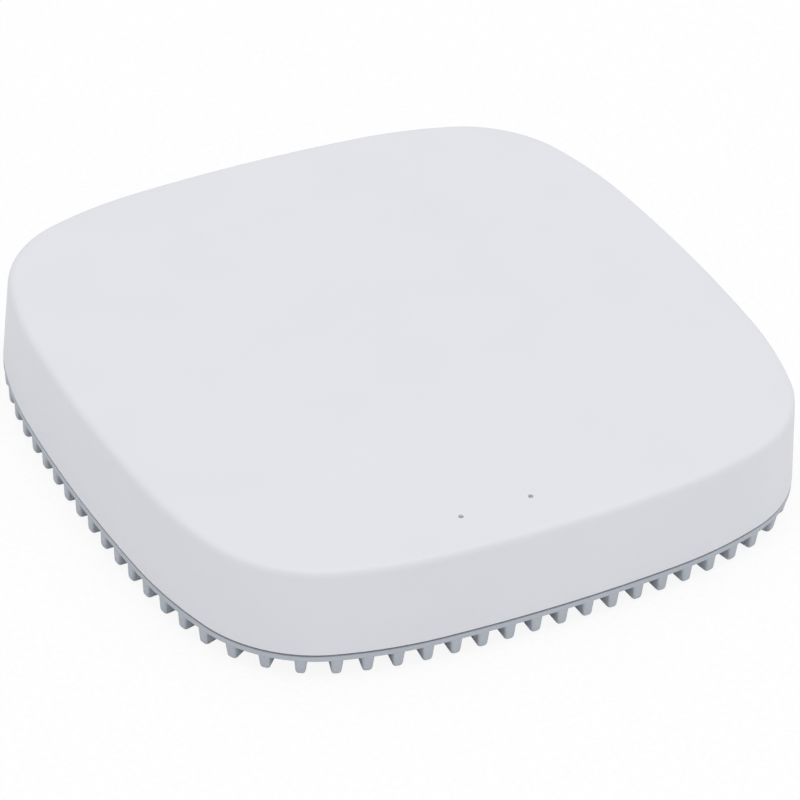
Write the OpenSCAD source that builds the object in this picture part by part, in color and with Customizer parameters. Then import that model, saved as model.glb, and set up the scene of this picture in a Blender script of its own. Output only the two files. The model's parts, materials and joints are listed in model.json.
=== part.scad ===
// Smart home hub: a shallow rounded-square cover on a ribbed vent base, with a radio board inside.
// Origin at the middle of the footprint, on the surface the feet stand on. +Z up, -Y front, +Y ports.

/* [Case] */
// Width and depth over the lower edge of the cover
body_w = 130; // [128:1:138]
// Height from the feet to the top of the cover
body_h = 22.7; // [22.5:0.1:24]
// Height of the lower edge of the cover above the feet
edge_z = 5.4; // [5.2:0.1:5.8]
// Wall and ceiling thickness of the cover
wall = 2; // [1.8:0.1:2.1]
// Inward lean of the cover walls, in mm per mm of height
draft = 0.087; // [0.06:0.001:0.09]
// Rounding of the edge round the top face
top_fillet = 0.85; // [0.7:0.05:1.4]

/* [Vent base] */
// Height of the rib bottoms above the surface the hub stands on
clearance = 0.5; // [0.4:0.1:0.7]
// Gap between the cover and the band below it
seam = 0.55; // [0.35:0.05:0.6]
// Height of the plain band over the ribs
band_h = 1; // [0.9:0.05:1.2]
// How far the rib fronts stand back from the cover's edge
rib_front = 0.15; // [0.1:0.05:0.4]
// Rib width where it meets the band
rib_w_top = 2.3; // [1.8:0.1:2.6]
// Rib width at the bottom
rib_w_foot = 1.5; // [1.2:0.1:1.7]
// Thickness of the floor of the base
floor_t = 2; // [1.8:0.1:2.2]

/* [Ports] */
// Height of the button's middle
button_z = 11.4; // [11:0.1:12]
// How far the button can be pressed
button_travel = 0.5; // [0.3:0.1:0.6]
// Distance of the power inlet and of the button from the middle of the port panel
port_step = 17; // [16.5:0.1:18]

/* [Status lights] */
// Radius of each pinhole
pinhole_r = 0.5; // [0.45:0.05:0.7]
// Distance between the two pinholes
pinhole_step = 14; // [12:0.5:16]

/* [Hidden] */
$fn = 48;

// Outline: a bowed side, a tighter shoulder and a corner arc, tangent to one another
half_w = body_w / 2;
side_r = half_w * 5.03;
shoulder_r = half_w * 1.293;
side_a = 4.24;
shoulder_a = 17.7;
corner_a = 45;
used_by_side = side_r * (sin(side_a) + 1 - cos(side_a));
used_by_shoulder = shoulder_r * (sin(shoulder_a) - sin(side_a) + cos(side_a) - cos(shoulder_a));
corner_r = (half_w - used_by_side - used_by_shoulder) / (cos(shoulder_a) - sin(shoulder_a));
side_steps = 3;
shoulder_steps = 4;
corner_steps = 6;

// Case heights
ceiling_z = body_h - wall;
band_top = edge_z - seam;
band_z = band_top - band_h;
floor_top = clearance + floor_t;

// Base
floor_inset = 7.5;
band_depth = 6.2;
sill_inset = 0.1;
sill_depth = 4;
sill_gap = 0.3;
sill_low = 0.3;
rib_count = 20;
rib_path_inset = 5.5;
rib_corner_lean = 0.65;
rib_round = 0.8;
rib_end = 9;
lip_outer = wall + 0.45;
lip_t = 1.4;
lip_h = 3;
foot_at = 43;
foot_r = 6;
foot_t = 1.4;
keyhole_at = 30;
keyhole_r = 4.2;
keyhole_slot_r = 2.1;
keyhole_len = 8;
label_size = [44, 30];
label_t = 0.2;
label_recess = 0.3;

// Fasteners
screw_r = 1.25;
screw_head_r = 2.5;
screw_head_h = 1.4;
recess_w = 0.7;
cover_screw_len = 13;
board_screw_len = 7;
boss_r = 4.2;
boss_top = 7;
post_r = 3.5;
board_screw_r = 1.1;
board_head_r = 2.2;
board_screw_at = [42, 31];
standoff_r = 3;
standoff_hole_z = 1.4;
pilot_top = 17;

// Board
board_t = 1.6;
board_z = 5.8;
board_top = board_z + board_t;
board_inset = 8;
board_half = 48;
board_corner = 36.5;
module_t = 0.8;

// Parts on the board: middle, and size or height
processor_w = 17;
memory_x = 14;
memory_y = 6;
memory_size = [8, 10, 1.1];
wifi_at = [-33, 14];
wifi_chip_size = [8, 8, 0.9];
wifi_can = [22, 20, 2.6];
zigbee_at = [34, 14];
zigbee_size = [20, 16, module_t];
zigbee_can_at = [34, 12.5];
zigbee_can = [14, 11, 2.2];
zwave_at = [34, -14];
zwave_size = [16, 14, module_t];
zwave_chip_size = [7, 7, module_t + 0.9];
transformer_at = [0, 33.5];
transformer_size = [15, 10, 5.6];
inductor_at = [26, 40];
inductor_size = [8, 8, 4];
capacitor_at = [[29, 50], [-28, 42]];
capacitor_r = 3.2;
capacitor_h = 7.7;
crystal_at = [-14, -28];
crystal_size = [11, 4.6];
crystal_h = 3.5;
sheet_t = 0.3;

// Heat sink
sink_w = 38;
sink_base_t = 1.6;
sink_h = 7.5;
sink_fins = 9;
sink_fin_t = 1.2;
chip_t = 1.4;
pad_w = 16;
pad_t = 1;
sink_z = board_top + chip_t + pad_t;
pin_at = 15.5;
pin_clear = 3.8;
pin_hole_r = 1.6;
pin_r = 1.5;
pin_tip = 1.4;
pin_head_r = 2.6;
pin_head_h = 2;

// Ports
panel_y = 60.5;
panel_t = 1.6;
panel_half = 26;
panel_top = 19.5;
window_half = 24.5;
window_top = 18.8;
jack_w = 15.8;
jack_h = 11.5;
jack_front = panel_y - panel_t - 0.2;
jack_back = 41.5;
plug_w = 11.9;
plug_z = [9.4, 17.4];
plug_depth = 12.4;
latch_w = 6.2;
latch_z = 8;
contact_count = 8;
contact_pitch = 1.02;
contact_w = 0.4;
inlet_size = [8.94, 3.26];
inlet_len = 9;
inlet_front = panel_y - 0.1;
inlet_z = board_top + inlet_size[1] / 2;
tongue_size = [6.7, 0.7];
tongue_root = 2;
button_r = 3;
button_flange_r = 3.9;
button_proud = 0.5;
switch_y = 54;
switch_size = [7, 4, 7];
plunger_r = 1.2;
plunger_in = 1.6;

// Status lights, off to one side of the middle
light_x = [-2.2 - pinhole_step, -2.2];
light_y = -54.5;
light_mid = (light_x[0] + light_x[1]) / 2;
pipe_r = 1.1;
pipe_clear = 0.8;
peg_depth = 0.9;
bar_z = 13;
bar_h = 1.6;
leg_w = 2;
leg_out = 6;
led_size = [1.6, 1.6, 0.6];
gasket_margin = [2.5, 2.2];
gasket_h = 3;

// Antennas on ledges beside the board
ledge_x = 54;
ledge_size = [6.4, 38];
antenna_size = [6, 36];
antenna_z = 5;
antenna_t = 0.8;
feed_y = 12;
feed_half = 1;
feed_h = 2.6;
connector_x = 42;
connector_y = -4;
connector_w = 3;
connector_h = 1.8;
lead_r = 0.55;
lead_sides = 8;
route_steps = 3;
lead_route = [[-53, 12, 6.7], [-51.8, 11.8, 6.9], [-50.6, 10.8, 7.9], [-50, 8.6, 8.9],
  [-49.8, 5, 9.1], [-49.4, 1, 9], [-48.2, -2, 8.7], [-46.2, -3.6, 8.4], [-43.5, -4, 8.3]];

// Centres of the three arcs of the half side that runs from the middle of the front to its corner
side_c = [0, side_r - half_w];
shoulder_c = side_c + (side_r - shoulder_r) * [sin(side_a), -cos(side_a)];
corner_c = shoulder_c + (shoulder_r - corner_r) * [sin(shoulder_a), -cos(shoulder_a)];

// Point of the outline whose outward normal is turned by a from -Y, moved inwards by inset
function arc_of(a) = a < side_a ? [side_c, side_r]
  : a < shoulder_a ? [shoulder_c, shoulder_r]
  : [corner_c, corner_r];
function edge_point(a, inset) = arc_of(a)[0] + (arc_of(a)[1] - inset) * [sin(a), -cos(a)];

half_angles = concat(
  [for (i = [0:side_steps - 1]) side_a * i / side_steps],
  [for (i = [0:shoulder_steps - 1]) side_a + (shoulder_a - side_a) * i / shoulder_steps],
  [for (i = [0:corner_steps - 1]) shoulder_a + (corner_a - shoulder_a) * i / corner_steps]);
half_count = len(half_angles);

// One quarter of the outline, from the middle of a side to just before the middle of the next one
function quarter(inset) = concat(
  [for (a = half_angles) edge_point(a, inset)],
  [edge_point(corner_a, inset)],
  [for (i = [half_count - 1:-1:1]) let (p = edge_point(half_angles[i], inset)) [-p[1], -p[0]]]);
function turned(p, q) = q == 0 ? p : turned([-p[1], p[0]], q - 1);
function outline(inset) = [for (q = [0:3]) for (p = quarter(inset)) turned(p, q)];

// Closed shell through a stack of outlines, each given as [inset, z], with flat ends
module loft(levels) {
  rings = [for (l = levels) [for (p = outline(l[0])) [p[0], p[1], l[1]]]];
  n = len(rings[0]);
  last = (len(levels) - 1) * n;
  polyhedron(
    points = [for (r = rings) for (p = r) p],
    faces = concat(
      [[for (i = [0:n - 1]) i]],
      [for (k = [0:len(levels) - 2]) for (i = [0:n - 1])
        [k * n + i, (k + 1) * n + i, (k + 1) * n + (i + 1) % n, k * n + (i + 1) % n]],
      [[for (i = [n - 1:-1:0]) last + i]]),
    convexity = 6);
}

// Straight plate or ring between two heights
module slab(inset, z0, z1) {
  translate([0, 0, z0])
    linear_extrude(z1 - z0)
      polygon(outline(inset));
}

module ring(inset, depth, z0, z1) {
  difference() {
    slab(inset, z0, z1);
    slab(inset + depth, z0 - 1, z1 + 1);
  }
}

module box_from(low, high) {
  translate(low)
    cube(high - low);
}

module rod(r, z0, z1) {
  translate([0, 0, z0])
    cylinder(h = z1 - z0, r = r);
}

// Round bar along Y
module bar_y(r, y0, y1) {
  translate([0, y0, 0])
    rotate([-90, 0, 0])
      cylinder(h = y1 - y0, r = r);
}

module at_corners(x, y) {
  for (sx = [-1, 1])
    for (sy = [-1, 1])
      translate([sx * x, sy * y, 0])
        children();
}

// Stadium outline with its long axis along X
module stadium(size) {
  r = size[1] / 2;
  square([size[0] - size[1], size[1]], center = true);
  for (s = [-1, 1])
    translate([s * (size[0] / 2 - r), 0])
      circle(r);
}

// Stadium prism along Y, centred on X and Z
module stadium_y(size, y0, y1) {
  translate([0, y1, 0])
    rotate([90, 0, 0])
      linear_extrude(y1 - y0)
        stadium(size);
}

// ---- Case ----

function wall_inset(z) = draft * (z - edge_z);
fillet_start = body_h - top_fillet;
fillet_steps = 5;

module top_cover() {
  inner = [[wall + wall_inset(ceiling_z), ceiling_z], [wall, edge_z]];
  outer = [[0, edge_z], [wall_inset(fillet_start), fillet_start]];
  rim = [for (i = [1:fillet_steps]) let (a = 90 * i / fillet_steps)
    [wall_inset(fillet_start) + top_fillet * (1 - cos(a)), fillet_start + top_fillet * sin(a)]];
  color("whitesmoke")
    difference() {
      union() {
        loft(concat(inner, outer, rim));
        at_corners(foot_at, foot_at)
          rod(post_r, boss_top + 0.1, ceiling_z + 1);
      }
      at_corners(foot_at, foot_at)
        rod(screw_r + 0.05, boss_top - 1, pilot_top);
      for (x = light_x)
        translate([x, light_y, 0])
          rod(pinhole_r, ceiling_z - 1, body_h + 1);
      box_from([-window_half, panel_y - 2, edge_z - 1], [window_half, body_w, window_top]);
    }
}

// Angle of the outline's normal at the k-th rib from the middle of a side
function path_len(r, a0, a1) = (r - rib_path_inset) * (a1 - a0);
side_len = path_len(side_r, 0, side_a);
shoulder_len = path_len(shoulder_r, side_a, shoulder_a);
corner_len = path_len(corner_r, shoulder_a, corner_a);
function rib_angle(k) =
  let (s = k * 2 / rib_count * (side_len + shoulder_len + corner_len))
  s < side_len ? s / (side_r - rib_path_inset)
  : s < side_len + shoulder_len ? side_a + (s - side_len) / (shoulder_r - rib_path_inset)
  : shoulder_a + (s - side_len - shoulder_len) / (corner_r - rib_path_inset);

// Rib seen from its side: x inwards from the outline, y up. Ribs at the corners lean in.
module rib_profile(a) {
  foot = rib_front + rib_corner_lean * pow(sin(2 * a), 2);
  top = band_z + 0.2;
  polygon(concat(
    [[rib_end, clearance], [rib_end, floor_top + 0.2], [floor_inset, top], [rib_front, top]],
    [for (i = [0:2]) let (t = 45 * i)
      [foot + rib_round * (1 - cos(t)), clearance + rib_round * (1 - sin(t))]]));
}

// Rib at the middle of the front, its outline point at the origin, running inwards along +Y
module rib(a) {
  z0 = clearance - 1;
  z1 = band_z + 1;
  slope = (rib_w_top - rib_w_foot) / (band_z - clearance) / 2;
  half_low = rib_w_foot / 2 - slope;
  half_high = rib_w_top / 2 + slope;
  intersection() {
    translate([rib_w_top, 0, 0])
      rotate([90, 0, -90])
        mirror([1, 0, 0])
          linear_extrude(2 * rib_w_top)
            rib_profile(a);
    translate([0, rib_end + 1, 0])
      rotate([90, 0, 0])
        linear_extrude(rib_end + 2)
          polygon([[-half_low, z0], [half_low, z0], [half_high, z1], [-half_high, z1]]);
  }
}

module ribs() {
  for (q = [0:3])
    rotate([0, 0, 90 * q])
      for (k = [1 - rib_count / 2:rib_count / 2]) {
        a = rib_angle(abs(k));
        p = edge_point(a, 0);
        translate([k < 0 ? -p[0] : p[0], p[1], 0])
          rotate([0, 0, k < 0 ? -a : a])
            rib(a);
      }
}

module keyhole(z0, z1) {
  translate([0, 0, z0])
    linear_extrude(z1 - z0) {
      circle(keyhole_r);
      translate([-keyhole_slot_r, 0])
        square([2 * keyhole_slot_r, keyhole_len]);
      translate([0, keyhole_len])
        circle(keyhole_slot_r);
    }
}

module base_tray() {
  color("lightsteelblue")
    difference() {
      union() {
        ring(0, band_depth, band_z, band_top);
        slab(floor_inset, clearance, floor_top);
        ribs();
        intersection() {
          ring(sill_inset, sill_depth - sill_inset, band_z + sill_low, edge_z - 0.1);
          box_from([sill_gap - window_half, panel_y + 0.1, 0], [window_half - sill_gap, body_w, body_h]);
        }
        difference() {
          ring(lip_outer, lip_t, band_top - 0.5, band_top + lip_h);
          box_from([-panel_half - 0.3, 0, band_top], [panel_half + 0.3, body_w, body_h]);
        }
        at_corners(foot_at, foot_at)
          rod(boss_r, floor_top - 0.5, boss_top);
        at_corners(board_screw_at[0], board_screw_at[1])
          rod(standoff_r, floor_top - 0.5, board_z);
        for (s = [-1, 1])
          translate([s * ledge_x, 0, 0])
            box_from([-ledge_size[0] / 2, -ledge_size[1] / 2, floor_top - 0.5],
              [ledge_size[0] / 2, ledge_size[1] / 2, antenna_z]);
      }
      at_corners(foot_at, foot_at) {
        rod(foot_r + 0.15, 0, foot_t);
        rod(screw_head_r + 0.2, 0, foot_t + 0.1 + screw_head_h);
        rod(screw_r + 0.2, 0, boss_top + 1);
      }
      at_corners(board_screw_at[0], board_screw_at[1])
        rod(board_screw_r + 0.05, standoff_hole_z, board_z + 1);
      for (s = [-1, 1])
        translate([s * keyhole_at, -keyhole_len / 2, 0])
          keyhole(0, floor_top + 1);
      translate([0, 0, clearance + label_recess - 1])
        linear_extrude(1)
          square(label_size + [0.6, 0.6], center = true);
    }
}

module rubber_feet() {
  color("dimgray")
    at_corners(foot_at, foot_at)
      rod(foot_r, 0, foot_t);
}

// Screw with its head's face at the origin and its tip up, cross recess underneath
module screw(r, head_r, length) {
  difference() {
    union() {
      rod(head_r, 0, screw_head_h);
      rod(r, 0, length);
    }
    for (a = [0, 90])
      rotate([0, 0, a])
        box_from([-head_r * 0.6, -recess_w / 2, -1], [head_r * 0.6, recess_w / 2, screw_head_h / 2]);
  }
}

module cover_screws() {
  color("silver")
    at_corners(foot_at, foot_at)
      translate([0, 0, foot_t + 0.1])
        screw(screw_r, screw_head_r, cover_screw_len);
}

module board_screws() {
  color("silver")
    at_corners(board_screw_at[0], board_screw_at[1])
      translate([0, 0, board_top + screw_head_h])
        mirror([0, 0, 1])
          screw(board_screw_r, board_head_r, board_screw_len);
}

module rating_label() {
  color("white")
    translate([0, 0, clearance + label_recess - label_t])
      linear_extrude(label_t)
        square(label_size, center = true);
}

// ---- Board and what is soldered to it ----

module main_board() {
  color("darkgreen")
    difference() {
      translate([0, 0, board_z])
        linear_extrude(board_t)
          intersection() {
            polygon(outline(board_inset));
            union() {
              square([2 * board_half, 2 * board_corner], center = true);
              square([2 * board_corner, body_w], center = true);
            }
          }
      at_corners(board_screw_at[0], board_screw_at[1])
        rod(board_screw_r + 0.4, board_z - 1, board_top + 1);
      for (s = [-1, 1])
        translate([s * pin_at, -s * pin_at, 0])
          rod(pin_hole_r, board_z - 1, board_top + 1);
    }
}

// Flat package lying on the board, given its middle and size
module package(at, size) {
  translate([at[0] - size[0] / 2, at[1] - size[1] / 2, board_top])
    cube(size);
}

module processor() {
  color("black")
    package([0, 0], [processor_w, processor_w, chip_t]);
}

module memory_chips() {
  color("black")
    for (s = [-1, 1])
      package([memory_x, s * memory_y], memory_size);
}

module thermal_pad() {
  color("lightblue")
    translate([-pad_w / 2, -pad_w / 2, board_top + chip_t])
      cube([pad_w, pad_w, pad_t]);
}

module heat_sink() {
  color("silver")
    difference() {
      union() {
        translate([-sink_w / 2, -sink_w / 2, sink_z])
          cube([sink_w, sink_w, sink_base_t]);
        for (i = [0:sink_fins - 1])
          translate([-sink_w / 2 + i * (sink_w - sink_fin_t) / (sink_fins - 1), -sink_w / 2, sink_z])
            cube([sink_fin_t, sink_w, sink_h]);
      }
      for (s = [-1, 1])
        translate([s * pin_at, -s * pin_at, 0]) {
          rod(pin_hole_r, sink_z - 1, sink_z + sink_h);
          box_from([-pin_clear, -pin_clear, sink_z + sink_base_t],
            [pin_clear, pin_clear, sink_z + sink_h + 1]);
        }
    }
}

module heat_sink_pins() {
  color("white")
    for (s = [-1, 1])
      translate([s * pin_at, -s * pin_at, 0]) {
        rod(pin_r, board_z - pin_tip, sink_z + sink_base_t + 0.5);
        rod(pin_head_r, sink_z + sink_base_t, sink_z + sink_base_t + pin_head_h);
      }
}

module wifi_chip() {
  color("black")
    package(wifi_at, wifi_chip_size);
}

// Sheet metal can, open underneath
module can(at, size, base_z) {
  translate([at[0], at[1], base_z])
    difference() {
      translate([-size[0] / 2, -size[1] / 2, 0])
        cube(size);
      translate([-size[0] / 2 + sheet_t, -size[1] / 2 + sheet_t, -1])
        cube([size[0] - 2 * sheet_t, size[1] - 2 * sheet_t, size[2] + 1 - sheet_t]);
    }
}

module wifi_shield() {
  color("silver")
    can(wifi_at, wifi_can, board_top);
}

module zigbee_module() {
  color("seagreen")
    package(zigbee_at, zigbee_size);
}

module zigbee_shield() {
  color("silver")
    can(zigbee_can_at, zigbee_can, board_top + module_t);
}

module zwave_module() {
  color("seagreen") {
    package(zwave_at, zwave_size);
    package(zwave_at, zwave_chip_size);
  }
}

// Antenna strip on its ledge, with the block that its lead is soldered to
module antenna() {
  half = antenna_size / 2;
  box_from([-ledge_x - half[0], -half[1], antenna_z], [-ledge_x + half[0], half[1], antenna_z + antenna_t]);
  box_from([-ledge_x - feed_half, feed_y - feed_half, antenna_z],
    [-ledge_x + feed_half, feed_y + feed_half, antenna_z + feed_h]);
}

module left_antenna() {
  color("goldenrod")
    antenna();
}

module right_antenna() {
  color("goldenrod")
    mirror([1, 0, 0])
      antenna();
}

// Smooth curve through the points of a route
function route_at(p, i) = p[max(0, min(len(p) - 1, i))];
function curve_point(p, i, t) =
  let (a = route_at(p, i - 1), b = route_at(p, i), c = route_at(p, i + 1), d = route_at(p, i + 2))
  0.5 * (2 * b + (c - a) * t + (2 * a - 5 * b + 4 * c - d) * t * t + (3 * b - a - 3 * c + d) * t * t * t);
function curve(p) = concat(
  [for (i = [0:len(p) - 2]) for (j = [0:route_steps - 1]) curve_point(p, i, j / route_steps)],
  [p[len(p) - 1]]);

// Round tube along a curve, its two ends square to X
module tube(route, r) {
  pts = curve(route);
  n = len(pts);
  rings = [for (i = [0:n - 1])
    let (d = i == 0 || i == n - 1 ? [1, 0, 0] : pts[i + 1] - pts[i - 1])
    let (u = cross([0, 0, 1], d) / norm(cross([0, 0, 1], d)), v = cross(d / norm(d), u))
    [for (j = [0:lead_sides - 1]) let (a = 360 * (j + 0.5) / lead_sides)
      pts[i] + r * (cos(a) * u + sin(a) * v)]];
  polyhedron(
    points = [for (s = rings) for (p = s) p],
    faces = concat(
      [[for (j = [0:lead_sides - 1]) j]],
      [for (i = [0:n - 2]) for (j = [0:lead_sides - 1]) let (k = (j + 1) % lead_sides)
        [i * lead_sides + j, (i + 1) * lead_sides + j, (i + 1) * lead_sides + k, i * lead_sides + k]],
      [[for (j = [lead_sides - 1:-1:0]) (n - 1) * lead_sides + j]]));
}

module left_antenna_lead() {
  color("dimgray")
    tube(lead_route, lead_r);
}

module right_antenna_lead() {
  color("dimgray")
    mirror([1, 0, 0])
      tube(lead_route, lead_r);
}

module antenna_connectors() {
  color("gold")
    for (s = [-1, 1])
      package([s * connector_x, connector_y], [connector_w, connector_w, connector_h]);
}

// ---- Status lights ----

module status_leds() {
  color("lightyellow")
    for (x = light_x)
      package([x, light_y], led_size);
}

module light_pipe() {
  half = leg_w / 2;
  color("white", 0.6)
    union() {
      for (x = light_x)
        translate([x, light_y, 0]) {
          rod(pipe_r, board_top + pipe_clear, ceiling_z - 0.2);
          rod(pinhole_r - 0.03, ceiling_z - 0.5, body_h - peg_depth);
        }
      box_from([light_x[0], light_y - bar_h / 2, bar_z], [light_x[1], light_y + bar_h / 2, bar_z + bar_h]);
      box_from([light_mid - half, light_y, bar_z], [light_mid + half, light_y + leg_out, bar_z + bar_h]);
      box_from([light_mid - half, light_y + leg_out - leg_w, board_top],
        [light_mid + half, light_y + leg_out, bar_z + 1]);
    }
}

module light_gasket() {
  color("black")
    difference() {
      box_from([light_x[0] - gasket_margin[0], light_y - gasket_margin[1], board_top],
        [light_x[1] + gasket_margin[0], light_y + gasket_margin[1], board_top + gasket_h]);
      for (x = light_x)
        translate([x, light_y, 0])
          rod(pipe_r + 0.2, board_top - 1, board_top + gasket_h + 1);
    }
}

// ---- Ports ----

// Room for the network plug and its latch between two depths
module plug_space(y0, y1, margin) {
  box_from([-plug_w / 2 - margin, y0, plug_z[0] - margin], [plug_w / 2 + margin, y1, plug_z[1] + margin]);
  box_from([-latch_w / 2 - margin, y0, latch_z - margin / 2], [latch_w / 2 + margin, y1, plug_z[0]]);
}

module port_panel() {
  color("lightsteelblue")
    difference() {
      box_from([-panel_half, panel_y - panel_t, band_top], [panel_half, panel_y, panel_top]);
      plug_space(panel_y - 5, panel_y + 5, 0.3);
      translate([port_step, 0, inlet_z])
        stadium_y(inlet_size + [0.6, 0.6], panel_y - 5, panel_y + 5);
      translate([-port_step, 0, button_z])
        bar_y(button_r + 0.2, panel_y - 5, panel_y + 5);
    }
}

module ethernet_jack() {
  color("black")
    difference() {
      box_from([-jack_w / 2 + sheet_t, jack_back + sheet_t, board_top],
        [jack_w / 2 - sheet_t, jack_front - sheet_t, board_top + jack_h - sheet_t]);
      plug_space(jack_front - plug_depth, jack_front + 1, 0);
    }
}

module ethernet_shield() {
  color("silver")
    difference() {
      box_from([-jack_w / 2, jack_back, board_top], [jack_w / 2, jack_front, board_top + jack_h]);
      box_from([-jack_w / 2 + sheet_t, jack_back + sheet_t, board_top - 1],
        [jack_w / 2 - sheet_t, jack_front - sheet_t, board_top + jack_h - sheet_t]);
      plug_space(jack_front - 1, jack_front + 1, 0);
    }
}

module ethernet_contacts() {
  color("gold")
    for (i = [0:contact_count - 1])
      translate([(i - (contact_count - 1) / 2) * contact_pitch, 0, 0])
        rotate([90, 0, 90])
          translate([0, 0, -contact_w / 2])
            linear_extrude(contact_w)
              polygon([[jack_front - plug_depth, plug_z[1] - 0.5], [jack_front - 4, plug_z[1] - 0.5],
                [jack_front - 4, plug_z[1]], [jack_front - 3.5, plug_z[1]],
                [jack_front - 3.5, plug_z[1] - 0.9],
                [jack_front - plug_depth, plug_z[1] - 1.6]]);
}

module ethernet_transformer() {
  color("black")
    package(transformer_at, transformer_size);
}

module power_inlet_shell() {
  y0 = inlet_front - inlet_len;
  color("silver")
    translate([port_step, 0, inlet_z])
      difference() {
        stadium_y(inlet_size, y0, inlet_front);
        stadium_y(inlet_size - [2 * sheet_t, 2 * sheet_t], y0 + sheet_t, inlet_front + 1);
      }
}

module power_inlet_tongue() {
  y0 = inlet_front - inlet_len + sheet_t;
  color("black")
    translate([port_step, 0, inlet_z]) {
      stadium_y(inlet_size - [2 * sheet_t + 0.1, 2 * sheet_t + 0.1], y0, y0 + tongue_root);
      box_from([-tongue_size[0] / 2, y0 + 1, -tongue_size[1] / 2],
        [tongue_size[0] / 2, inlet_front - 1, tongue_size[1] / 2]);
    }
}

module pairing_button() {
  back = panel_y - panel_t - 0.05;
  color("lightsteelblue")
    translate([-port_step, 0, button_z]) {
      bar_y(button_r, back - 1, panel_y + button_proud);
      bar_y(button_flange_r, back - 1, back);
    }
}

module switch_body() {
  half = switch_size[0] / 2;
  color("dimgray")
    difference() {
      box_from([-port_step - half, switch_y - switch_size[1], board_top],
        [-port_step + half, switch_y, board_top + switch_size[2]]);
      translate([-port_step, 0, button_z])
        bar_y(plunger_r + 0.05, switch_y - plunger_in - button_travel - 0.4, switch_y + 1);
    }
}

module switch_plunger() {
  color("black")
    translate([-port_step, 0, button_z])
      bar_y(plunger_r, switch_y - plunger_in, panel_y - panel_t - 1.05);
}

// ---- Power parts ----

module power_inductor() {
  color("dimgray")
    package(inductor_at, inductor_size);
}

module capacitors() {
  color("silver")
    for (p = capacitor_at)
      translate([p[0], p[1], 0])
        rod(capacitor_r, board_top, board_top + capacitor_h);
}

module crystal_can() {
  color("silver")
    translate([crystal_at[0], crystal_at[1], board_top])
      linear_extrude(crystal_h)
        stadium(crystal_size);
}

top_cover();
base_tray();
rubber_feet();
cover_screws();
board_screws();
rating_label();
main_board();
processor();
memory_chips();
thermal_pad();
heat_sink();
heat_sink_pins();
wifi_chip();
wifi_shield();
zigbee_module();
zigbee_shield();
zwave_module();
left_antenna();
right_antenna();
left_antenna_lead();
right_antenna_lead();
antenna_connectors();
status_leds();
light_pipe();
light_gasket();
port_panel();
ethernet_jack();
ethernet_shield();
ethernet_contacts();
ethernet_transformer();
power_inlet_shell();
power_inlet_tongue();
pairing_button();
switch_body();
switch_plunger();
power_inductor();
capacitors();
crystal_can();
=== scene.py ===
import json
import math

import bmesh
import bpy
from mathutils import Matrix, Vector

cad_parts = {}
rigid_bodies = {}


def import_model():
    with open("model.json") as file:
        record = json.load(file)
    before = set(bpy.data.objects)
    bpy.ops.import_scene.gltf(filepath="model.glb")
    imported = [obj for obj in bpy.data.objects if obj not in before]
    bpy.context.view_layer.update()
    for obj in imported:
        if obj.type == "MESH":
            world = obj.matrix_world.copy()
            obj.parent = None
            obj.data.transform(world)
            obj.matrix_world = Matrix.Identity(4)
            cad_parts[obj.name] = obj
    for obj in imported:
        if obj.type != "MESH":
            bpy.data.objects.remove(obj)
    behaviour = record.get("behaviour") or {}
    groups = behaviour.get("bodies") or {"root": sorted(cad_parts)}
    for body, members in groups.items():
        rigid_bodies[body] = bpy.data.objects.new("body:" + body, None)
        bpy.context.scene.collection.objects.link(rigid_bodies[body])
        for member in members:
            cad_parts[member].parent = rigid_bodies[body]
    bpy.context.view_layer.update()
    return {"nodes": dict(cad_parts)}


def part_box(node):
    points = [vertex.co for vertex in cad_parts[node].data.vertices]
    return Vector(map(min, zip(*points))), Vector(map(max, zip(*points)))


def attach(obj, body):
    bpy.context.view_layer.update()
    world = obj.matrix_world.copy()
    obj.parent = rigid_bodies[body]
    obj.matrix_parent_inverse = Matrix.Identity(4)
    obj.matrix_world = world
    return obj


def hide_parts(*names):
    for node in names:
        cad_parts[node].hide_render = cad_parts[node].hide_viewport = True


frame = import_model()
mm = 0.001
caseBody = "case"
buttonBody = "button"


# outline shared by the cover and the base

outline = {
    "sideBow": 5.03,        # radius of the long side, in half widths
    "shoulderBow": 1.293,   # radius between side and corner, in half widths
    "sideTurn": 4.24,       # degrees the side turns before the shoulder starts
    "shoulderTurn": 17.7,   # degrees turned where the corner arc starts
    "sideSteps": 4,
    "shoulderSteps": 7,
    "cornerSteps": 22,
}

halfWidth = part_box("top_cover")[1][0]


def outlineArcs():
    # (turn at the start, turn at the end, radius, centre) of the three arcs from mid front to the corner
    first = math.radians(outline["sideTurn"])
    second = math.radians(outline["shoulderTurn"])
    sideR = halfWidth * outline["sideBow"]
    shoulderR = halfWidth * outline["shoulderBow"]
    usedBySide = sideR * (math.sin(first) + 1 - math.cos(first))
    usedByShoulder = shoulderR * (math.sin(second) - math.sin(first) + math.cos(first) - math.cos(second))
    cornerR = (halfWidth - usedBySide - usedByShoulder) / (math.cos(second) - math.sin(second))
    sideC = Vector((0, sideR - halfWidth, 0))
    shoulderC = sideC + (sideR - shoulderR) * Vector((math.sin(first), -math.cos(first), 0))
    cornerC = shoulderC + (shoulderR - cornerR) * Vector((math.sin(second), -math.cos(second), 0))
    return [(0, first, sideR, sideC), (first, second, shoulderR, shoulderC),
            (second, math.pi / 4, cornerR, cornerC)]


arcs = outlineArcs()


def edgePoint(turn, inset):
    # point of the outline whose outward normal is turned from -Y towards +X
    start, end, radius, centre = next(a for a in arcs if turn <= a[1] + 1e-9)
    return centre + (radius - inset) * Vector((math.sin(turn), -math.cos(turn), 0))


# small modelling helpers

def deselect():
    if bpy.context.object and bpy.context.object.mode != "OBJECT":
        bpy.ops.object.mode_set(mode="OBJECT")
    bpy.ops.object.select_all(action="DESELECT")


def activate(piece):
    deselect()
    piece.select_set(True)
    bpy.context.view_layer.objects.active = piece


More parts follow.
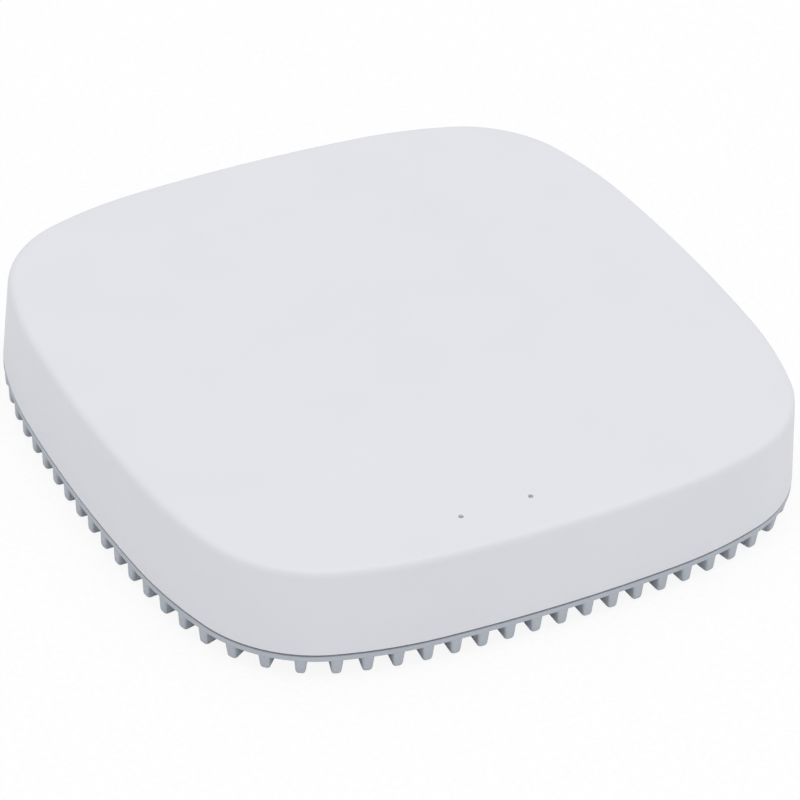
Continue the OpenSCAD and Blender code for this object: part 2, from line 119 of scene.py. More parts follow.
def pick(kind, test):
    # selects the vertices, edges or faces of the piece in edit mode that pass the test
    bpy.ops.mesh.select_mode(type=kind)
    bpy.ops.mesh.select_all(action="DESELECT")
    mesh = bpy.context.object.data
    edit = bmesh.from_edit_mesh(mesh)
    for item in {"VERT": edit.verts, "EDGE": edit.edges, "FACE": edit.faces}[kind]:
        if test(item):
            item.select_set(True)
    edit.select_flush_mode()
    bmesh.update_edit_mesh(mesh)


def middle(item):
    corners = [v.co for v in item.verts]
    return sum(corners, Vector()) / len(corners)


def along(edge, axis):
    span = edge.verts[1].co - edge.verts[0].co
    return abs(span[axis]) > 0.999 * span.length


def cubeBetween(low, high, name="block"):
    low, high = Vector(low), Vector(high)
    deselect()
    bpy.ops.mesh.primitive_cube_add(size=1)
    cube = bpy.context.object
    cube.name = cube.data.name = name
    bpy.ops.object.mode_set(mode="EDIT")
    bpy.ops.transform.resize(value=high - low, center_override=(0, 0, 0))
    bpy.ops.transform.translate(value=(low + high) / 2)
    bpy.ops.object.mode_set(mode="OBJECT")
    return cube


def rodBetween(radius, start, end, name="rod", sides=48):
    # round bar between two points on a line along Y or Z
    start, end = Vector(start), Vector(end)
    deselect()
    bpy.ops.mesh.primitive_cylinder_add(vertices=sides, radius=radius, depth=(end - start).length)
    rod = bpy.context.object
    rod.name = rod.data.name = name
    bpy.ops.object.mode_set(mode="EDIT")
    if abs(end.y - start.y) > 0:
        bpy.ops.transform.rotate(value=math.pi / 2, orient_axis="X", center_override=(0, 0, 0))
    bpy.ops.transform.translate(value=(start + end) / 2)
    bpy.ops.object.mode_set(mode="OBJECT")
    return rod


def bevelPicked(width, segments=3):
    bpy.ops.mesh.bevel(offset=width, offset_type="OFFSET", segments=segments, profile=0.5,
                       affect="EDGES", clamp_overlap=True)


def bevelEdges(piece, test, width, segments=3):
    activate(piece)
    bpy.ops.object.mode_set(mode="EDIT")
    pick("EDGE", test)
    bevelPicked(width, segments)
    bpy.ops.object.mode_set(mode="OBJECT")


def combine(piece, tool, operation="DIFFERENCE"):
    activate(piece)
    change = piece.modifiers.new("combine", "BOOLEAN")
    change.object = tool
    change.operation = operation
    change.solver = "EXACT"
    bpy.ops.object.modifier_apply(modifier=change.name)
    bpy.data.objects.remove(tool)


def joined(name, pieces):
    activate(pieces[0])
    for piece in pieces:
        piece.select_set(True)
    bpy.ops.object.join()
    whole = bpy.context.object
    whole.name = whole.data.name = name
    return whole


def smooth(piece, angle=35):
    activate(piece)
    bpy.ops.object.shade_smooth_by_angle(angle=math.radians(angle))
    weight = piece.modifiers.new("weight", "WEIGHTED_NORMAL")
    weight.keep_sharp = True
    bpy.ops.object.modifier_apply(modifier=weight.name)


def settle(piece, material, nodes=(), body=caseBody, angle=35):
    # shading, finish, body and the CAD nodes that the piece stands for
    smooth(piece, angle)
    piece.data.materials.clear()
    piece.data.materials.append(material)
    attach(piece, body)
    if nodes:
        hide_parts(*nodes)
    return piece


def softEdged(node, width, segments=2, angle=30):
    # a copy of a CAD piece with its edges rounded off, as moulding or stamping leaves them
    activate(frame["nodes"][node])
    bpy.ops.object.duplicate()
    piece = bpy.context.object
    bpy.ops.object.parent_clear(type="CLEAR_KEEP_TRANSFORM")
    first, *others = node.split("_")
    piece.name = piece.data.name = first + "".join(word.title() for word in others) + "Finished"
    bpy.ops.object.mode_set(mode="EDIT")
    bpy.ops.mesh.select_all(action="SELECT")
    bpy.ops.mesh.remove_doubles(threshold=0.002 * mm)
    bpy.ops.mesh.dissolve_limited(angle_limit=math.radians(0.5))
    bpy.ops.object.mode_set(mode="OBJECT")
    edge = piece.modifiers.new("edge", "BEVEL")
    edge.width = width
    edge.segments = segments
    edge.limit_method = "ANGLE"
    edge.angle_limit = math.radians(angle)
    bpy.ops.object.modifier_apply(modifier=edge.name)
    return piece


def softCorner(before, corner, after, reach, steps):
    # points of a smooth curve that cuts the corner of a cross-section
    start = corner + (before - corner).normalized() * reach
    end = corner + (after - corner).normalized() * reach
    points = []
    for i in range(steps + 1):
        t = i / steps
        points.append((1 - t) ** 2 * start + 2 * t * (1 - t) * corner + t ** 2 * end)
    return points


def sweptRound(name, section, ring=False, steps=5):
    # section: (inset, height, corner rounding) in mm, drawn at mid front and spun round the outline's arcs
    corners = [Vector((0, s[0] * mm - halfWidth, s[1] * mm)) for s in section]
    points = []
    for i, spot in enumerate(corners):
        reach = section[i][2] * mm
        if reach:
            points += softCorner(corners[i - 1], spot, corners[(i + 1) % len(corners)], reach, steps)
        else:
            points.append(spot)
    deselect()
    bpy.ops.mesh.primitive_plane_add(size=mm)
    piece = bpy.context.object
    piece.name = piece.data.name = name
    bpy.ops.object.mode_set(mode="EDIT")
    bpy.ops.mesh.select_mode(type="VERT")
    bpy.ops.mesh.select_all(action="SELECT")
    bpy.ops.mesh.merge(type="CENTER")
    bpy.ops.transform.translate(value=points[0])
    for last, spot in zip(points, points[1:]):
        bpy.ops.mesh.extrude_region_move(TRANSFORM_OT_translate={"value": spot - last})
    if ring:
        pick("VERT", lambda v: (v.co - points[0]).length < 1e-7 or (v.co - points[-1]).length < 1e-7)
        bpy.ops.mesh.edge_face_add()
    bpy.ops.mesh.select_all(action="SELECT")
    stepCounts = [outline["sideSteps"], outline["shoulderSteps"], outline["cornerSteps"]]
    quarter = [(a[3], a[1] - a[0], n) for a, n in zip(arcs, stepCounts)]
    quarter += [(Vector((-c.y, -c.x, 0)), turn, n) for c, turn, n in reversed(quarter)]
    for side in range(4):
        for centre, turn, count in quarter:
            for _ in range(side):
                centre = Vector((-centre.y, centre.x, 0))
            bpy.ops.mesh.spin(steps=count, angle=turn, center=centre, axis=(0, 0, -1))
    bpy.ops.mesh.select_all(action="SELECT")
    bpy.ops.mesh.remove_doubles(threshold=0.001 * mm)
    if not ring:
        for end in (points[0], points[-1]):
            pick("EDGE", lambda e: e.is_boundary and all(abs(v.co.z - end.z) < 1e-7 for v in e.verts))
            bpy.ops.mesh.edge_face_add()
    bpy.ops.mesh.select_all(action="SELECT")
    bpy.ops.mesh.normals_make_consistent(inside=False)
    bpy.ops.object.mode_set(mode="OBJECT")
    return piece


# materials

def linear(hexColour):
    # sRGB hex to linear
    parts = [int(hexColour[i:i + 2], 16) / 255 for i in (1, 3, 5)]
    return [p / 12.92 if p <= 0.04045 else ((p + 0.055) / 1.055) ** 2.4 for p in parts] + [1.0]


def addNode(tree, kind, inputs=None, **settings):
    # a node with its settings; an input is a value or another node's output
    node = tree.nodes.new(kind)
    for name, value in settings.items():
        setattr(node, name, value)
    for socket, value in (inputs or {}).items():
        if isinstance(value, bpy.types.NodeSocket):
            tree.links.new(value, node.inputs[socket])
        else:
            node.inputs[socket].default_value = value
    return node


def calculate(tree, operation, *values):
    # one sum in a material
    return addNode(tree, "ShaderNodeMath", dict(enumerate(values)), operation=operation).outputs[0]


def startMaterial(name, constants):
    # Principled shader with its constant values on its own sockets, and the piece's own coordinates
    material = bpy.data.materials.new(name)
    material.use_nodes = True
    tree = material.node_tree
    shader = tree.nodes["Principled BSDF"]
    for socket, value in constants.items():
        shader.inputs[socket].default_value = value
    place = addNode(tree, "ShaderNodeTexCoord").outputs["Object"]
    return material, tree, shader, place


def grain(tree, place, size, detail=3.0):
    # noise with its grains about size metres apart
    noise = addNode(tree, "ShaderNodeTexNoise", {"Vector": place, "Scale": 1 / size, "Detail": detail})
    return noise.outputs["Fac"]


def spread(tree, shader, pattern, socket, low, high):
    # a pattern mapped onto a range of values of one socket
    scaled = addNode(tree, "ShaderNodeMapRange",
                     {"Value": pattern, "From Min": 0.3, "From Max": 0.7, "To Min": low, "To Max": high})
    tree.links.new(scaled.outputs["Result"], shader.inputs[socket])


def relief(tree, shader, pattern, height, strength=1.0):
    # bump of a real height in metres
    bump = addNode(tree, "ShaderNodeBump", {"Height": pattern, "Distance": height, "Strength": strength})
    tree.links.new(bump.outputs["Normal"], shader.inputs["Normal"])


def tint(tree, shader, pattern, first, second):
    # colour that drifts between two close shades
    scaled = addNode(tree, "ShaderNodeMapRange", {"Value": pattern, "From Min": 0.3, "From Max": 0.7})
    mix = addNode(tree, "ShaderNodeMix", {0: scaled.outputs["Result"]}, data_type="RGBA")
    mix.inputs["A"].default_value = linear(first)
    mix.inputs["B"].default_value = linear(second)
    tree.links.new(mix.outputs["Result"], shader.inputs["Base Color"])


def mouldedPlastic(name, shades, rough, grainSize=0.35 * mm, depth=0.004 * mm, cloud=18 * mm):
    # moulded against an etched tool: an even fine grain, with the slight cloudiness of melt flow
    material, tree, shader, place = startMaterial(name, {"IOR": 1.52})
    tint(tree, shader, grain(tree, place, cloud, 2.0), shades[0], shades[1])
    fine = grain(tree, place, grainSize, 4.0)
    spread(tree, shader, fine, "Roughness", rough[0], rough[1])
    relief(tree, shader, fine, depth)
    return material


def plainMetal(name, shades, rough, stretch=(1, 1, 1), grainSize=0.2 * mm, depth=0.001 * mm):
    # rolled, drawn or plated metal: the grain is drawn out along one direction
    material, tree, shader, place = startMaterial(name, {"Metallic": 1.0})
    drawn = addNode(tree, "ShaderNodeMapping", {"Vector": place, "Scale": stretch}).outputs["Vector"]
    tint(tree, shader, grain(tree, drawn, 6 * mm, 3.0), shades[0], shades[1])
    fine = grain(tree, drawn, grainSize, 3.0)
    spread(tree, shader, fine, "Roughness", rough[0], rough[1])
    relief(tree, shader, fine, depth)
    return material


# white ABS, fine matte etch: soft even highlights, no shine off the flat top
whiteAbs = mouldedPlastic("whiteAbsFineEtch", ("#dedfe4", "#e0e1e6"), (0.46, 0.54))
# blue-grey ABS, same etch a little coarser: duller than the cover
greyAbs = mouldedPlastic("blueGreyAbsEtched", ("#b3b9c1", "#b7bdc5"), (0.52, 0.62), 0.4 * mm, 0.006 * mm)
# the same plastic in a paler shade from a finer tool: the cap stands out from its panel
buttonAbs = mouldedPlastic("paleGreyAbsButton", ("#c6ccd3", "#cad0d6"), (0.42, 0.5))
# glass-filled nylon from a polished tool: dark with a low sheen
blackNylon = mouldedPlastic("blackNylonMoulded", ("#17181a", "#1c1d1f"), (0.4, 0.5))
# unfilled nylon straight from the tool: warm white
whiteNylon = mouldedPlastic("naturalNylonMoulded", ("#e6e3d8", "#ebe8de"), (0.38, 0.46))
# transfer-moulded epoxy: nearly black, dry surface
chipEpoxy = mouldedPlastic("blackEpoxyMoulded", ("#1b1c1e", "#212224"), (0.6, 0.72), 0.25 * mm, 0.006 * mm)
# sintered ferrite: dark grey, grainy
ferrite = mouldedPlastic("ferriteSintered", ("#2a2b2d", "#3a3b3e"), (0.6, 0.8),
                         0.3 * mm, 0.012 * mm, 0.8 * mm)
# moulded silicone rubber: dull, dust makes it slightly uneven
footRubber = mouldedPlastic("greySiliconeRubber", ("#3c3e41", "#47494c"), (0.7, 0.85),
                            0.5 * mm, 0.01 * mm, 4 * mm)
# filled silicone sheet, knife cut: dull and slightly uneven
gapPad = mouldedPlastic("siliconeGapPad", ("#8fa3b8", "#9aadc0"), (0.75, 0.85), 0.4 * mm, 0.02 * mm, 3 * mm)
# closed-cell foam: open bubbles cut through at the surface
blackFoam = mouldedPlastic("blackClosedCellFoam", ("#0f0f10", "#1a1a1b"), (0.85, 0.95),
                           0.5 * mm, 0.08 * mm, 2 * mm)
# extruded fluoropolymer sleeve: smooth, with a slight sheen
coaxJacket = mouldedPlastic("blackFepExtruded", ("#1a1a1c", "#202022"), (0.25, 0.35), 0.6 * mm, 0.002 * mm)
# turned steel, bright zinc plated
zincSteel = plainMetal("zincPlatedSteel", ("#b7babd", "#c3c5c6"), (0.28, 0.42))
# rolled and tinned sheet, folded up into cans: the rolling lines run along Y
tinPlate = plainMetal("tinPlatedSheetRolled", ("#bcbcb8", "#c8c8c5"), (0.26, 0.36), (1, 0.08, 1))
# drawn shell, nickel plated: smoother and a little warmer
nickelShell = plainMetal("nickelPlatedSheetDrawn", ("#b9b6ae", "#c4c1ba"), (0.16, 0.24), (1, 0.1, 1))
# stamped strip with a thin gold plating
goldPlate = plainMetal("goldPlatedContact", ("#d9b45b", "#e0be6c"), (0.18, 0.28), (1, 0.1, 1))
# extruded aluminium, clear anodised: faint die lines along the fins
anodised = plainMetal("clearAnodisedExtrusion", ("#c9cbcc", "#d2d4d5"), (0.32, 0.44),
                      (1, 0.05, 1), 0.25 * mm)
# can drawn up along Z from soft aluminium
bareCan = plainMetal("deepDrawnAluminium", ("#c6c7c8", "#d3d4d4"), (0.3, 0.4), (1, 1, 0.1))


def circuitBoard(name, mask, track, pitch):
    # glass-epoxy laminate under solder mask: copper tracks show through as a slightly raised lighter grid
    lacquer = {"IOR": 1.5, "Coat Weight": 0.3, "Coat Roughness": 0.15}
    material, tree, shader, place = startMaterial(name, lacquer)
    routed = addNode(tree, "ShaderNodeTexBrick",
                     {"Vector": place, "Scale": 1 / pitch, "Mortar Size": 0.06, "Mortar Smooth": 0.1,
                      "Bias": 0.0, "Brick Width": 3.0, "Row Height": 0.5,
                      "Color1": linear(mask), "Color2": linear(mask), "Mortar": linear(track)})
    tree.links.new(routed.outputs["Color"], shader.inputs["Base Color"])
    spread(tree, shader, grain(tree, place, 0.5 * mm), "Roughness", 0.24, 0.34)
    relief(tree, shader, routed.outputs["Fac"], 0.03 * mm)
    return material


# green boards with fine tracks, and the black antenna strips with broad ones
boardGreen = circuitBoard("greenSolderMaskBoard", "#0f4a33", "#1d6b4a", 2.4 * mm)
antennaBoard = circuitBoard("blackSolderMaskAntenna", "#16181a", "#8d6a35", 4.8 * mm)


def clearMoulding(name, shade, passing):
    # clear resin with a lightly frosted surface
    material, tree, shader, place = startMaterial(name, {"IOR": 1.49, "Transmission Weight": passing})
    tint(tree, shader, grain(tree, place, 3 * mm), shade, "#ffffff")
    fine = grain(tree, place, 0.3 * mm)
    spread(tree, shader, fine, "Roughness", 0.12, 0.22)
    relief(tree, shader, fine, 0.002 * mm)
    return material


# moulded light pipe, frosted to spread the light, its grey partly painted shade: toned darker so its tips
# look shaded down in the pinholes; and the yellow cast resin over the LED chips
clearAcrylic = clearMoulding("frostedAcrylicLightPipe", "#d9dcdf", 0.25)
ledResin = clearMoulding("phosphorLedResin", "#f2e7a8", 0.2)


def labelFilm(name, low, high, frameIn=1.6 * mm, frameHalf=0.12 * mm):
    # satin polyester film with a printed hairline frame, blank inside
    material, tree, shader, place = startMaterial(name, {"IOR": 1.58})
    split = addNode(tree, "ShaderNodeSeparateXYZ", {"Vector": place})
    centre = (low + high) / 2
    inside = []
    for axis in (0, 1):
        half = (high[axis] - low[axis]) / 2
        shifted = calculate(tree, "SUBTRACT", split.outputs[axis], centre[axis])
        away = calculate(tree, "ABSOLUTE", shifted)
        inside.append(calculate(tree, "SUBTRACT", half, away))
    rim = calculate(tree, "MINIMUM", *inside)
    line = calculate(tree, "COMPARE", rim, frameIn, frameHalf)
    mix = addNode(tree, "ShaderNodeMix", {0: line}, data_type="RGBA")
    mix.inputs["A"].default_value = linear("#dcdddf")
    mix.inputs["B"].default_value = linear("#6f7478")
    tree.links.new(mix.outputs["Result"], shader.inputs["Base Color"])
    fine = grain(tree, place, 0.3 * mm)
    spread(tree, shader, fine, "Roughness", 0.34, 0.42)
    relief(tree, shader, fine, 0.001 * mm)
    return material


labelLow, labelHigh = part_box("rating_label")
satinLabel = labelFilm("satinPolyesterLabel", Vector(labelLow), Vector(labelHigh))
print("materials made")


# cover

cover = {
    "top": 22.7, "edge": 5.28, "wall": 2.0, "lean": 0.066, "fillet": 1.5, "edgeRound": 0.1,
    "flatInset": 4.2, "ceilingRound": 0.6, "ceilingRim": 1.2,
    "postAt": 43, "postR": 3.5, "postFoot": 7.1, "pilotR": 1.3, "pilotTop": 17,
    "windowHalf": 24.5, "windowTop": 18.8, "windowFront": 58.5, "windowRound": 0.4,
    "pinholeX": (-16.2, -2.2), "pinholeY": -54.5, "pinholeR": 0.5, "pinholeRound": 0.2,
}


def coverShell():
    top, edge, wall, lean = (cover[k] for k in ("top", "edge", "wall", "lean"))
    ceiling = top - wall
    leanIn = lean * (ceiling - edge)
    shell = sweptRound("coverShell", [
        (wall + leanIn + cover["ceilingRim"], ceiling, 0),
        (wall + leanIn, ceiling, cover["ceilingRound"]),
        (wall, edge, cover["edgeRound"]),
        (0, edge, cover["edgeRound"]),
        (lean * (top - edge), top, cover["fillet"]),
        (cover["flatInset"], top, 0)])
    for x in (-1, 1):
        for y in (-1, 1):
            at = Vector((x, y, 0)) * cover["postAt"] * mm
            up = Vector((0, 0, mm))
            post = rodBetween(cover["postR"] * mm, at + up * cover["postFoot"], at + up * (ceiling + 1))
            combine(post, rodBetween(cover["pilotR"] * mm, at, at + up * cover["pilotTop"], sides=24))
            combine(shell, post, "UNION")
    half, front = cover["windowHalf"] * mm, cover["windowFront"] * mm
    combine(shell, cubeBetween((-half, front, 0), (half, halfWidth * 1.1, cover["windowTop"] * mm)))
    height = cover["windowTop"] * mm

    def onWindow(e):
        spot = middle(e)
        overhead = abs(spot.z - height) < 1e-6 and along(e, 0)
        upright = (abs(abs(spot.x) - half) < 1e-6 and edge * mm < spot.z < height
                   and abs(e.calc_face_angle(0)) > 1)
        return spot.y > front and (overhead or upright)

    bevelEdges(shell, onWindow, cover["windowRound"] * mm)
    for x in cover["pinholeX"]:
        at = Vector((x, cover["pinholeY"], 0)) * mm
        combine(shell, rodBetween(cover["pinholeR"] * mm, at, at + Vector((0, 0, halfWidth)), sides=32))
        near = (cover["pinholeR"] + 0.02) * mm
        bevelEdges(shell, lambda e: (middle(e) - at).xy.length < near and middle(e).z > (top - 0.01) * mm,
                   cover["pinholeRound"] * mm)
    settle(shell, whiteAbs, ["top_cover"])


coverShell()
print("cover made")


# base

base = {
    "bandInset": 0.02, "bandBack": 6.2, "bandLow": 3.85, "bandHigh": 4.82,
    "bandRound": 0.26, "bandFoot": 0.08,
    "floorInset": 7.5, "floorLow": 0.5, "floorHigh": 2.5, "floorRound": 0.3, "floorRim": 12,
    "lipInset": 2.45, "lipBack": 3.85, "lipLow": 4.4, "lipHigh": 7.9, "lipRound": 0.3, "lipGap": 26.3,
    "sillInset": 0.1, "sillBack": 4.0, "sillLow": 4.15, "sillHigh": 5.3, "sillRound": 0.2,
    "sillHalf": 24.2, "sillFront": 60.6,
    "footAt": 43, "footHole": 6.15, "footDeep": 1.4, "headHole": 2.7, "headDeep": 2.9, "screwHole": 1.45,
    "rootLow": 2, "bossR": 4.2, "bossTop": 7.0, "through": 9,
    "standAt": (42, 31), "standR": 3.0, "standTop": 5.8, "standHole": 1.15, "standHoleLow": 1.4,
    "ledgeX": 54, "ledgeHalf": (3.2, 19), "ledgeTop": 5.0,
    "keyholeX": 30, "keyholeR": 4.2, "slotR": 2.1, "slotLong": 8,
    "labelHalf": (22.3, 15.3), "labelDeep": 0.3,
}
rib = {
    "perSide": 20, "path": 5.5, "wideHigh": 2.4, "wideLow": 1.65,
    "front": 0.06, "foot": 0.12, "cornerLean": 0.65, "bend": 7.5, "back": 9.0,
    "low": 0.34, "backLow": 0.8, "high": 4.1, "backHigh": 2.8, "footRound": 0.9, "sideRound": 0.5,
}


def ribTurn(k):
    # turn of the outline's normal at the k-th rib from the middle of a side, spaced evenly along the path
    lengths = [(a[2] - rib["path"] * mm) * (a[1] - a[0]) for a in arcs]
    left = k * 2 / rib["perSide"] * sum(lengths)
    for arc, length in zip(arcs, lengths):
        if left <= length + 1e-9:
            return arc[0] + left / (arc[2] - rib["path"] * mm)
        left -= length
    return math.pi / 4


def ribShape(turn):
    # a tapered rib running in from the outline along +Y, its front edge leaning in towards the foot
    foot = rib["foot"] + rib["cornerLean"] * math.sin(2 * turn) ** 2
    half = rib["wideHigh"] * mm / 2
    front, back, low, high = (rib[k] * mm for k in ("front", "back", "low", "high"))
    shape = cubeBetween((-half, front, low), (half, back, high), "rib")
    bpy.ops.object.mode_set(mode="EDIT")
    bpy.ops.mesh.select_all(action="SELECT")
    bpy.ops.mesh.bisect(plane_co=(0, rib["bend"] * mm, 0), plane_no=(0, 1, 0))
    pick("VERT", lambda v: v.co.y > back - 1e-6 and v.co.z > high - 1e-6)
    bpy.ops.transform.translate(value=(0, 0, rib["backHigh"] * mm - high))
    pick("VERT", lambda v: v.co.z < low + 1e-6)
    bpy.ops.transform.resize(value=(rib["wideLow"] / rib["wideHigh"], 1, 1), center_override=(0, 0, low))
    pick("VERT", lambda v: v.co.z < low + 1e-6 and v.co.y > back - 1e-6)
    bpy.ops.transform.translate(value=(0, 0, rib["backLow"] * mm - low))
    pick("VERT", lambda v: v.co.z < low + 1e-6 and v.co.y < front + 1e-6)
    bpy.ops.transform.translate(value=(0, foot * mm - front, 0))
    pick("EDGE", lambda e: all(v.co.z < low + 1e-6 and v.co.y < (foot + 0.1) * mm for v in e.verts))
    bevelPicked(rib["footRound"] * mm, 6)
    pick("EDGE", lambda e: e.calc_face_angle(0) > 0.9 and abs(middle(e).x) > 1e-6
         and middle(e).y < back - 1e-6 and middle(e).z < high - 1e-6)
    bevelPicked(rib["sideRound"] * mm, 3)
    bpy.ops.object.mode_set(mode="OBJECT")
    return shape


def allRibs():
    half = rib["perSide"] // 2
    masters = [ribShape(ribTurn(k)) for k in range(half + 1)]
    ribs = []
    for side in range(4):
        for k in range(1 - half, half + 1):
            turn = ribTurn(abs(k))
            spot = edgePoint(turn, 0)
            if k < 0:
                spot.x, turn = -spot.x, -turn
            for _ in range(side):
                spot = Vector((-spot.y, spot.x, 0))
            activate(masters[abs(k)])
            bpy.ops.object.duplicate()
            copy = bpy.context.object
            copy.location = spot
            copy.rotation_euler.z = turn + side * math.pi / 2
            bpy.ops.object.transform_apply()
            ribs.append(copy)
    for master in masters:
        bpy.data.objects.remove(master)
    return joined("ribs", ribs)


def keyhole(x):
    # entry hole and the slot behind it, as one cutter
    radius, slot, long = (base[k] * mm for k in ("keyholeR", "slotR", "slotLong"))
    start, deep = Vector((x * mm, -long / 2, 0)), Vector((0, 0, 5 * mm))
    end = start + Vector((0, long, 0))
    aside = Vector((slot, 0, 0))
    cutter = rodBetween(radius, start - deep, start + deep)
    combine(cutter, cubeBetween(start - aside - deep, end + aside + deep), "UNION")
    combine(cutter, rodBetween(slot, end - deep, end + deep), "UNION")
    return cutter


def ventBase():
    up = Vector((0, 0, mm))
    inset, back, low, high = (base[k] for k in ("bandInset", "bandBack", "bandLow", "bandHigh"))
    body = sweptRound("ventBase", [(inset, low, base["bandFoot"]), (inset, high, base["bandRound"]),
                                   (back, high, 0), (back, low, 0)], ring=True, steps=3)
    rim, inset, low, high = (base[k] for k in ("floorRim", "floorInset", "floorLow", "floorHigh"))
    floor = sweptRound("floor", [(rim, low, 0), (inset, low, base["floorRound"]), (inset, high, 0),
                                 (rim, high, 0)], steps=3)
    root, through = up * base["rootLow"], up * base["through"]
    for side in (-1, 1):
        x, (wide, long) = side * base["ledgeX"], base["ledgeHalf"]
        lowEnd = Vector((x - wide, -long, base["rootLow"])) * mm
        highEnd = Vector((x + wide, long, base["ledgeTop"])) * mm
        combine(floor, cubeBetween(lowEnd, highEnd), "UNION")
        combine(floor, keyhole(side * base["keyholeX"]))
    wide, long = base["labelHalf"]
    recessTop = low + base["labelDeep"]
    combine(floor, cubeBetween(Vector((-wide, -long, 0)) * mm, Vector((wide, long, recessTop)) * mm))
    for x in (-1, 1):
        for y in (-1, 1):
            at = Vector((x, y, 0)) * base["footAt"] * mm
            combine(floor, rodBetween(base["bossR"] * mm, at + root, at + up * base["bossTop"]), "UNION")
            combine(floor, rodBetween(base["footHole"] * mm, at - up, at + up * base["footDeep"], sides=64))
            combine(floor, rodBetween(base["headHole"] * mm, at, at + up * base["headDeep"]))
            combine(floor, rodBetween(base["screwHole"] * mm, at, at + through))
            at = Vector((x * base["standAt"][0], y * base["standAt"][1], 0)) * mm
            combine(floor, rodBetween(base["standR"] * mm, at + root, at + up * base["standTop"]), "UNION")
            combine(floor, rodBetween(base["standHole"] * mm, at + up * base["standHoleLow"], at + through))
    inset, back, low, high = (base[k] for k in ("lipInset", "lipBack", "lipLow", "lipHigh"))
    soft = base["lipRound"]
    lip = sweptRound("lip", [(inset, low, 0), (inset, high, soft), (back, high, soft), (back, low, 0)],
                     ring=True, steps=2)
    gap, half, front = (base[k] * mm for k in ("lipGap", "sillHalf", "sillFront"))
    beyond, above = halfWidth * 1.1, 20 * mm
    combine(lip, cubeBetween((-gap, 0, base["bandHigh"] * mm), (gap, beyond, above)))
    inset, back, low, high = (base[k] for k in ("sillInset", "sillBack", "sillLow", "sillHigh"))
    soft = base["sillRound"]
    sill = sweptRound("sill", [(inset, low, 0), (inset, high, soft), (back, high, 0), (back, low, 0)],
                      ring=True, steps=2)
    combine(sill, cubeBetween((-half, front, 0), (half, beyond, above)), "INTERSECT")
    combine(body, allRibs(), "UNION")
    combine(body, floor, "UNION")
    combine(body, lip, "UNION")
    combine(body, sill, "UNION")
    settle(body, greyAbs, ["base_tray"])


ventBase()
print("base made")


# feet

foot = {"at": 43, "radius": 6.0, "thick": 1.4, "edgeRound": 0.5, "rim": 1.3, "slope": 0.3, "dish": 0.25}


def rubberFeet():
    feet = []
    for x in (-1, 1):
        for y in (-1, 1):
            at = Vector((x, y, 0)) * foot["at"] * mm
            disc = rodBetween(foot["radius"] * mm, at, at + Vector((0, 0, foot["thick"] * mm)), sides=64)
            bpy.ops.object.mode_set(mode="EDIT")
            pick("EDGE", lambda e: all(v.co.z < 1e-7 for v in e.verts))
            bevelPicked(foot["edgeRound"] * mm, 4)
            pick("FACE", lambda f: f.normal.z < -0.99 and len(f.verts) > 8)
            bpy.ops.mesh.inset(thickness=foot["rim"] * mm)
            bpy.ops.mesh.inset(thickness=foot["slope"] * mm)
            bpy.ops.transform.translate(value=(0, 0, foot["dish"] * mm))
            bpy.ops.object.mode_set(mode="OBJECT")
            feet.append(disc)
    settle(joined("rubberFeet", feet), footRubber, ["rubber_feet"])


rubberFeet()
print("feet made")


# pairing button

button = {"edgeRound": 0.12, "rim": 0.7, "slope": 0.35, "dish": 0.2}


def buttonCap():
    cap = softEdged("pairing_button", button["edgeRound"] * mm)
    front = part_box("pairing_button")[1][1]
    bpy.ops.object.mode_set(mode="EDIT")
    pick("FACE", lambda f: f.normal.y > 0.99 and middle(f).y > front - 1e-6)
    bpy.ops.mesh.inset(thickness=button["rim"] * mm)
    bpy.ops.mesh.inset(thickness=button["slope"] * mm)
    bpy.ops.transform.translate(value=(0, -button["dish"] * mm, 0))
    bpy.ops.object.mode_set(mode="OBJECT")
    cap.name = cap.data.name = "buttonCap"
    settle(cap, buttonAbs, ["pairing_button"], buttonBody)


buttonCap()
print("button made")


# the other pieces: moulded, pressed and soldered parts with their edges softened

